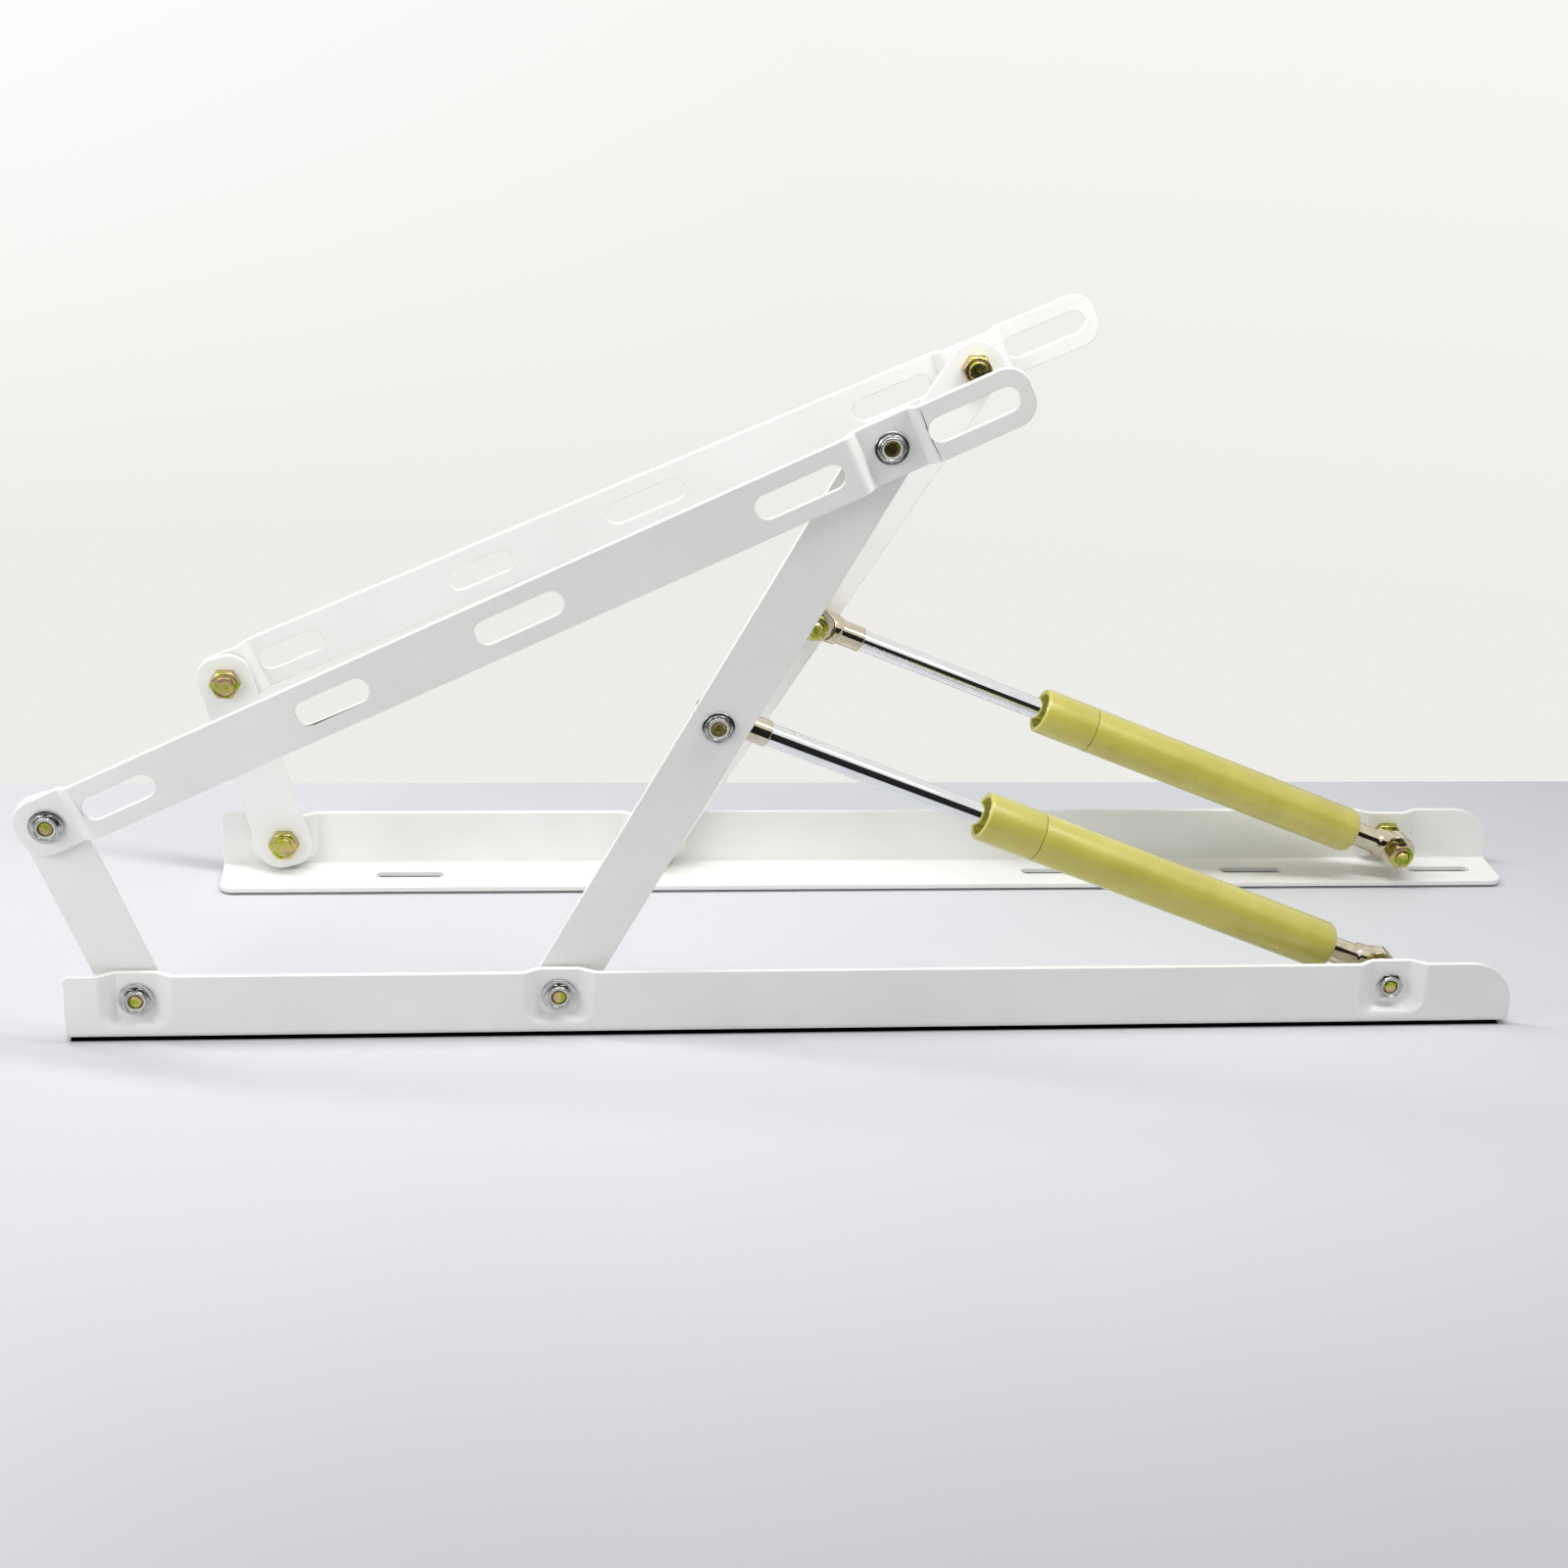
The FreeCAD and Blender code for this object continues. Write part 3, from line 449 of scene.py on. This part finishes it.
def roundSheet(node, setup):
    weld = node.modifiers.new("weld", "WELD")
    weld.merge_threshold = 0.000002
    flat = node.modifiers.new("flat", "DECIMATE")
    flat.decimate_type = "DISSOLVE"
    flat.angle_limit = math.radians(0.5)
    edge = node.modifiers.new("edge", "BEVEL")
    edge.width = setup["round"] / 1000
    edge.segments = setup["segments"]
    edge.limit_method = "ANGLE"
    edge.angle_limit = math.radians(setup["angle"])
    edge.use_clamp_overlap = False
    edge.miter_outer = "MITER_ARC"
    smooth = node.modifiers.new("smooth", "WEIGHTED_NORMAL")
    smooth.keep_sharp = False


for side in sides:
    for kind in sheetEdge["kinds"]:
        roundSheet(nodes[side + "_" + kind], sheetEdge)
print("sheet edges done")


def roundPath(points, closed=False, steps=4):
    # (radius, height, corner) points in mm to a line whose corners are rounded
    line = []
    for index, (radius, height, corner) in enumerate(points):
        here = Vector((radius, height))
        if not corner or (not closed and index in (0, len(points) - 1)):
            line.append((radius, height))
            continue
        before = Vector(points[index - 1][:2]) - here
        after = Vector(points[(index + 1) % len(points)][:2]) - here
        start = here + before.normalized() * min(corner, 0.49 * before.length)
        end = here + after.normalized() * min(corner, 0.49 * after.length)
        for step in range(steps + 1):
            part = step / steps
            spot = start.lerp(here, part).lerp(here.lerp(end, part), part)
            line.append((spot.x, spot.y))
    return line


def hexReach(flats, angle):
    # how far a hexagon reaches at an angle, with its corners a little worn
    side = math.radians(30) - angle % math.radians(60)
    return min(flats / 2 / math.cos(side), 0.985 * flats / math.sqrt(3))


def ringRows(line, flats=0):
    # a row for each point of a line; flats cut it down to a hexagon
    if flats:
        return [lambda angle, r=r, h=h: (min(r, hexReach(flats, angle)), h) for r, h in line]
    return [lambda angle, r=r, h=h: (r, h) for r, h in line]


def threadRows(start, length, outer, pitch):
    # four rows to each turn: both edges of the crest and both of the root
    root = outer - 0.6134 * pitch
    rows = []

    def helix(angle, turn, phase, radius):
        height = min(max((turn + phase + angle / (2 * math.pi)) * pitch, 0), length)
        return min(radius, root + height, outer - pitch + length - height), start + height

    for turn in range(-1, int(length / pitch) + 2):
        for phase, radius in ((0, outer), (0.125, outer), (0.4375, root), (0.6875, root)):
            rows.append(lambda angle, t=turn, p=phase, r=radius: helix(angle, t, p, r))
    return rows


def addRings(bm, rows, place, closed=False, shift=0, count=72):
    # shift: rows that a thread climbs in one turn
    grid = []
    for row in rows:
        ring = []
        for step in range(count):
            angle = 2 * math.pi * step / count
            radius, height = row(angle)
            ring.append(bm.verts.new(place @ Vector((radius * math.cos(angle), radius * math.sin(angle), height))))
        grid.append(ring)
    if closed:
        grid.append(grid[0])
    top = len(grid) - 1
    for low in range(top):
        for step in range(count):
            after = (step + 1) % count
            climb = 0 if after else shift
            corners = [grid[low][step], grid[min(low + climb, top)][after],
                       grid[min(low + 1 + climb, top)][after], grid[low + 1][step]]
            if len(set(corners)) == 4:
                bm.faces.new(corners)
    if not closed:
        for ring in (grid[0], grid[-1]):
            bm.faces.new(ring)


def standing(x, y, z, direction):
    # from a piece's own millimetres, up its axis, to its place; direction is 1 along +Y and -1 along -Y
    turn = Matrix(((1, 0, 0), (0, 0, direction), (0, -direction, 0))).to_4x4()
    return Matrix.Translation((x, y, z)) @ turn @ Matrix.Scale(0.001, 4)


def solidBoxes(node):
    # lowest and highest corner of each separate solid of a CAD node
    mesh = node.data
    leader = {}

    def find(key):
        while leader[key] != key:
            leader[key] = leader[leader[key]]
            key = leader[key]
        return key

    keys = [tuple(round(value, 6) for value in vertex.co) for vertex in mesh.vertices]
    for key in keys:
        leader.setdefault(key, key)
    for face in mesh.polygons:
        first = find(keys[face.vertices[0]])
        for index in face.vertices[1:]:
            leader[find(keys[index])] = first
    groups = {}
    for key in leader:
        groups.setdefault(find(key), []).append(key)
    boxes = []
    for group in sorted(groups.values(), key=min):
        boxes.append([Vector([pick(spot[axis] for spot in group) for axis in range(3)]) for pick in (min, max)])
    return boxes


def finishPiece(bm, name, nodeName, slotName, smoothAngle=34):
    bmesh.ops.remove_doubles(bm, verts=bm.verts, dist=0.000001)
    bmesh.ops.dissolve_degenerate(bm, edges=bm.edges, dist=0.000001)
    bmesh.ops.recalc_face_normals(bm, faces=bm.faces)
    mesh = bpy.data.meshes.new(name)
    bm.to_mesh(mesh)
    bm.free()
    mesh.shade_smooth()
    mesh.set_sharp_from_angle(angle=math.radians(smoothAngle))
    mesh.materials.append(finishes[slotName])
    piece = bpy.data.objects.new(name, mesh)
    scene.collection.objects.link(piece)
    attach(piece, bodyOf[nodeName])
    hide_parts(nodeName)
    return piece


bodyOf = {name: body for body, names in frame["record"]["behaviour"]["bodies"].items() for name in names}

# M8 hardware, in millimetres up from each piece's seat
hardware = {
    "thread": 4.0,             # outer radius
    "pitch": 1.25,
    "shownThread": 4.6,        # only a bolt's last turns can be seen
    "bore": 4.05,
    "shoulder": 5.0,           # radius
    "shoulderLength": 4.6,
    "linkShoulderLength": 3.3,
    "seat": 7.2,               # from a bolt's lowest point to under its head
    "headFlats": 15.0,
    "headHeight": 6.0,
    "headBoss": (5.1, 0.9),    # radius and height of the raised centre
    "nutFlats": 13.0,
    "lockNut": {"hexHeight": 1.5, "flangedHex": 2.0, "height": 3.4, "collar": 5.9, "mouth": 4.9, "floor": 2.6},
    "flange": (8.5, 1.2),      # radius and thickness
    "insert": (5.4, 1.4),      # radius and thickness
    "plainNutHeight": 6.5,
    "studHex": (17.0, 6.0),    # across flats, height
    "studWaist": 6.5,
    "studDisc": (8.0, 2.0),    # radius and thickness
    "railStud": (17.7, 28.3),  # where its disc ends and its thread starts, from the plate's outer face
    "washerEdge": 0.4,
    "washerBores": (4.2, 5.05),    # radii, for a thread and for a shoulder
    "shoulderWasher": 17.8,        # width from which a washer sits on a shoulder
    "flangedNut": 16.5,            # width from which a lock nut has a flange
    "eyePin": (8.0, 3.25, 13.25),  # disc's radius and thickness, and where the thread starts
    "sheet": 3.0,
    "sunk": 1.6,               # bolt ends and inserts lie this much lower than in the plain model
    "sunkReach": 2.4,          # of a stud's thread past its plate
}


def hexLine(flats, low, high, lowTurned, highTurned):
    # outline of a turned hexagon blank between two heights
    corner = flats / math.sqrt(3)
    face = 0.47 * flats
    fall = (corner - face) * math.tan(math.radians(30))
    line = []
    if lowTurned:
        line += [(face + (corner - face) * part / 6, low + fall * part / 6) for part in range(7)]
    else:
        line += [(corner, low)]
    if highTurned:
        line += [(corner - (corner - face) * part / 6, high - fall + fall * part / 6) for part in range(7)]
    else:
        line += [(corner, high)]
    return line


def addLockNut(bm, place, setup, flanged):
    nut = setup["lockNut"]
    bore = setup["bore"]
    wall, thickness = setup["insert"]
    under = nut["floor"] - thickness
    inside = roundPath([(wall, nut["floor"], 0), (wall, under, 0), (bore, under, 0), (bore, 0.4, 0),
                        (bore + 0.5, 0, 0)])
    low = 0
    high = nut["flangedHex"] if flanged else nut["hexHeight"]
    rows = []
    if flanged:
        wide, thick = setup["flange"]
        rows += ringRows(roundPath([(bore + 0.5, 0, 0), (wide, 0, 0.3), (wide, thick, 0.8), (7.2, thick + 0.25, 0.2),
                                    (7.2, thick + 0.3, 0)]))
        low = thick
    rows += ringRows(hexLine(setup["nutFlats"], low, high, not flanged, True), setup["nutFlats"])
    collar = nut["collar"]
    rows += ringRows(roundPath([(collar, high + 0.05, 0), (collar, nut["height"] - 0.1, 1.1),
                                (nut["mouth"] + 0.4, nut["height"], 0.45), (nut["mouth"], nut["floor"] + 0.2, 0),
                                (nut["mouth"], nut["floor"], 0)], steps=6))
    addRings(bm, rows + ringRows(inside), place, closed=True)


def addInsert(bm, place, setup):
    outer, thick = setup["insert"]
    bore = setup["bore"]
    line = roundPath([(bore, 0, 0), (outer, 0, 0), (outer, thick, 0), (bore, thick, 0.5)], closed=True)
    addRings(bm, ringRows(line), place, closed=True)


def addPlainNut(bm, place, setup):
    bore = setup["bore"]
    rows = ringRows([(bore, 0.5), (bore + 0.5, 0.0)])
    rows += ringRows(hexLine(setup["nutFlats"], 0, setup["plainNutHeight"], True, True), setup["nutFlats"])
    rows += ringRows([(bore + 0.5, setup["plainNutHeight"]), (bore, setup["plainNutHeight"] - 0.5)])
    addRings(bm, rows, place, closed=True)


def addWasher(bm, place, radius, bore, thick, setup):
    edge = min(setup["washerEdge"], 0.45 * thick)
    line = roundPath([(bore, 0, edge), (radius, 0, edge), (radius, thick, edge), (bore, thick, edge)], closed=True)
    addRings(bm, ringRows(line), place, closed=True)


def addThread(bm, place, start, length, setup):
    shown = min(setup["shownThread"], length - 0.2)
    plain = length - shown
    if plain > 0.3:
        radius = setup["thread"] - 0.05
        addRings(bm, ringRows([(radius, start), (radius, start + plain)]), place, count=48)
    addRings(bm, threadRows(start + plain, shown, setup["thread"], setup["pitch"]), place, shift=4)


def addHead(bm, place, setup):
    # hexagon head below its seat at height 0, with a shallow dish round its raised centre
    boss, rise = setup["headBoss"]
    top = setup["headHeight"]
    rows = ringRows([(0.2, 0.0), (boss, 0.0)])
    rows += ringRows(hexLine(setup["headFlats"], 0, top, False, True), setup["headFlats"])
    rows += ringRows(roundPath([(boss + 1.2, top, 0.3), (boss + 0.5, top - 0.25, 0.3), (boss, top - 0.1, 0.15),
                                (boss, top + rise, 0.7), (1.5, top + rise + 0.05, 0), (0.2, top + rise + 0.05, 0)]))
    addRings(bm, [lambda angle, row=row: (row(angle)[0], -row(angle)[1]) for row in rows], place)


def addRound(bm, place, points, count=72):
    addRings(bm, ringRows(roundPath(points)), place, count=count)


def addShoulder(bm, place, length, setup):
    radius = setup["shoulder"]
    addRound(bm, place, [(0.2, 0, 0), (radius, 0, 0), (radius, length, 0.2), (0.2, length, 0)])


def addPin(bm, place, low, high, setup):
    radius = setup["thread"]
    addRound(bm, place, [(0.2, low, 0), (radius, low, 0), (radius, high, 0), (0.2, high, 0)])


def addStudBase(bm, place, end, setup):
    # from the plate's outer face: thread through it, hexagon, waist and the disc that bears on the eye
    flats, high = setup["studHex"]
    wide, thick = setup["studDisc"]
    sheet = setup["sheet"]
    flip = Matrix.Translation((0, 0, sheet)) @ Matrix.Rotation(math.pi, 4, "X")
    addThread(bm, place @ flip, 0, sheet + setup["sunkReach"], setup)
    line = hexLine(flats, sheet, sheet + high, True, True)
    addRings(bm, ringRows([(0.2, sheet)]) + ringRows(line, flats) + ringRows([(0.2, sheet + high)]), place)
    addRound(bm, place, [(0.2, sheet + high - 1, 0), (setup["studWaist"], sheet + high - 1, 0),
                         (setup["studWaist"], max(end - thick, sheet + high - 0.9), 0.2),
                         (wide, end - thick, 0.4), (wide, end, 0.4), (0.2, end, 0)])


def buildHardware(side, setup):
    outward = -1 if side == "near" else 1

    def spotsOf(kind, direction):
        # each solid's centre, its lowest level along a direction, its length and its width
        found = []
        for low, high in solidBoxes(nodes[side + "_" + kind]):
            middle = (low + high) / 2
            start = low.y if direction > 0 else high.y
            found.append((standing(middle.x, start, middle.z, direction), 1000 * (high.y - low.y),
                          1000 * (high.x - low.x)))
        return found

    for kind in ("rail_lock_nuts", "bar_lock_nuts", "arm_lock_nut"):
        bm = bmesh.new()
        for place, length, width in spotsOf(kind, outward):
            addLockNut(bm, place, setup, width > setup["flangedNut"])
        finishPiece(bm, side + "_" + kind + "_turned", side + "_" + kind, "bright_zinc")
    for kind in ("rail_nut_inserts", "bar_nut_inserts", "arm_nut_insert"):
        bm = bmesh.new()
        for place, length, width in spotsOf(kind, outward):
            addInsert(bm, place @ Matrix.Translation((0, 0, -setup["sunk"])), setup)
        finishPiece(bm, side + "_" + kind + "_moulded", side + "_" + kind, "white_nylon")
    for kind in ("rail_stud_nut", "rod_eye_nut"):
        bm = bmesh.new()
        for place, length, width in spotsOf(kind, -outward):
            addPlainNut(bm, place, setup)
        finishPiece(bm, side + "_" + kind + "_turned", side + "_" + kind, "yellow_zinc")
    threadBore, shoulderBore = setup["washerBores"]
    for kind in ("rail_spacer_washers", "rail_seat_washers", "bar_washers"):
        bm = bmesh.new()
        for place, length, width in spotsOf(kind, outward):
            bore = threadBore if width < setup["shoulderWasher"] else shoulderBore
            addWasher(bm, place, width / 2, bore, length, setup)
        finishPiece(bm, side + "_" + kind + "_punched", side + "_" + kind, "bright_zinc")

    # bolts: head inwards, shoulder through the link, thread outwards
    for kind in ("rail_pivot_bolts", "bar_pivot_bolt"):
        bm = bmesh.new()
        for place, length, width in spotsOf(kind, outward):
            seat = place @ Matrix.Translation((0, 0, setup["seat"]))
            addHead(bm, seat, setup)
            addShoulder(bm, seat, setup["shoulderLength"], setup)
            addThread(bm, seat, setup["shoulderLength"],
                      length - setup["seat"] - setup["shoulderLength"] - setup["sunk"], setup)
        finishPiece(bm, side + "_" + kind + "_rolled", side + "_" + kind, "yellow_zinc")
    bm = bmesh.new()
    for place, length, width in spotsOf("link_pivot_bolt", outward):
        seat = place @ Matrix.Translation((0, 0, setup["seat"]))
        addHead(bm, seat, setup)
        addShoulder(bm, seat, setup["linkShoulderLength"], setup)
    finishPiece(bm, side + "_link_pivot_bolt_rolled", side + "_link_pivot_bolt", "yellow_zinc")
    bm = bmesh.new()
    for place, length, width in spotsOf("bar_pivot_thread", outward):
        addThread(bm, place, 0, length - setup["sunk"], setup)
    finishPiece(bm, side + "_bar_pivot_thread_rolled", side + "_bar_pivot_thread", "yellow_zinc")

    # studs that carry the gas spring's eyes
    reach = setup["sunkReach"]
    disc, threadStart = setup["railStud"]
    bm = bmesh.new()
    for place, length, width in spotsOf("rail_spring_stud", -outward):
        plate = place @ Matrix.Translation((0, 0, reach))
        addStudBase(bm, plate, disc, setup)
        addPin(bm, plate, disc - 0.1, threadStart, setup)
        addThread(bm, plate, threadStart, length - reach - threadStart, setup)
    finishPiece(bm, side + "_rail_spring_stud_turned", side + "_rail_spring_stud", "yellow_zinc")
    bm = bmesh.new()
    for place, length, width in spotsOf("arm_spring_stud", -outward):
        addStudBase(bm, place @ Matrix.Translation((0, 0, reach)), length - reach, setup)
    finishPiece(bm, side + "_arm_spring_stud_turned", side + "_arm_spring_stud", "yellow_zinc")
    bm = bmesh.new()
    wide, thick, start = setup["eyePin"]
    radius = setup["thread"]
    for place, length, width in spotsOf("rod_eye_pin", -outward):
        addRound(bm, place, [(0.2, 0, 0), (wide, 0, 0.4), (wide, thick, 0.4), (radius, thick, 0), (radius, start, 0),
                             (0.2, start, 0)])
        addThread(bm, place, start, length - start, setup)
    finishPiece(bm, side + "_rod_eye_pin_turned", side + "_rod_eye_pin", "yellow_zinc")


for side in sides:
    buildHardware(side, hardware)
    print(side, "hardware done")


# Gas spring, in millimetres along its axis from the pivot on the rail
gasSpring = {
    "tube": (13.0, 31.0, 206.5),    # radius, foot, top
    "footRound": 5.0,
    "footThickness": 5.0,
    "wall": 1.5,
    "stud": (4.0, 10.0),            # radius and length of the threaded stubs in the eyes
    "cap": (200.9, 206.9, 238.6),   # spigot, skin, top
    "capLip": 1.7,
    "capMouth": (10.0, 8.0),
    "capBore": 6.3,
    "rod": 6.0,
    "rodTail": 9.0,                 # length of the thin end that holds the piston
    "eyeEdge": 0.5,
}


def buildSpring(side, setup):
    joints = {joint["name"]: joint for joint in frame["joints"]}
    foot = Vector(joints[side + "_cylinder_swing"]["pos_m"])
    axis = -Vector(joints[side + "_rod_stroke"]["axis"])
    place = Matrix.Translation(foot) @ axis.to_track_quat("Z", "Y").to_matrix().to_4x4() @ Matrix.Scale(0.001, 4)
    radius, start, top = setup["tube"]
    inner = radius - setup["wall"]
    floor = start + setup["footThickness"]
    stud, studLength = setup["stud"]

    bm = bmesh.new()
    addRound(bm, place, [(0.2, start - studLength, 0), (stud, start - studLength, 0.6), (stud, start, 0),
                         (radius, start, setup["footRound"]), (radius, top, 0.35), (inner, top, 0.2),
                         (inner, floor, 0), (0.2, floor, 0)], count=96)
    finishPiece(bm, side + "_cylinder_tube_drawn", side + "_cylinder_tube", "lime_coat")

    bm = bmesh.new()
    spigot, skin, end = setup["cap"]
    mouth, depth = setup["capMouth"]
    bore = setup["capBore"]
    line = roundPath([(bore, spigot, 0), (inner, spigot, 0.3), (inner, skin, 0), (radius, skin, 0.35),
                      (radius, end, setup["capLip"]), (mouth, end, 0.9), (mouth, end - depth, 0.8),
                      (bore, end - depth, 0.3)], closed=True)
    addRings(bm, ringRows(line), place, closed=True, count=96)
    finishPiece(bm, side + "_cylinder_collar_turned", side + "_cylinder_collar", "lime_coat")

    heights = [1000 * (vertex.co - foot).dot(axis) for vertex in nodes[side + "_piston_rod"].data.vertices]
    low = min(heights)
    high = max(heights)
    bm = bmesh.new()
    tail = low + setup["rodTail"]
    addRound(bm, place, [(0.2, low, 0), (stud, low, 0.4), (stud, tail, 0), (setup["rod"], tail, 0.5),
                         (setup["rod"], high - studLength, 0.7), (stud, high - studLength, 0),
                         (stud, high, 0.6), (0.2, high, 0)], count=96)
    finishPiece(bm, side + "_piston_rod_ground", side + "_piston_rod", "hard_chrome")

    for kind in ("cylinder_eye", "rod_eye"):
        roundSheet(nodes[side + "_" + kind], {"round": setup["eyeEdge"], "segments": 3, "angle": 40})


for side in sides:
    buildSpring(side, gasSpring)
print("gas springs done")
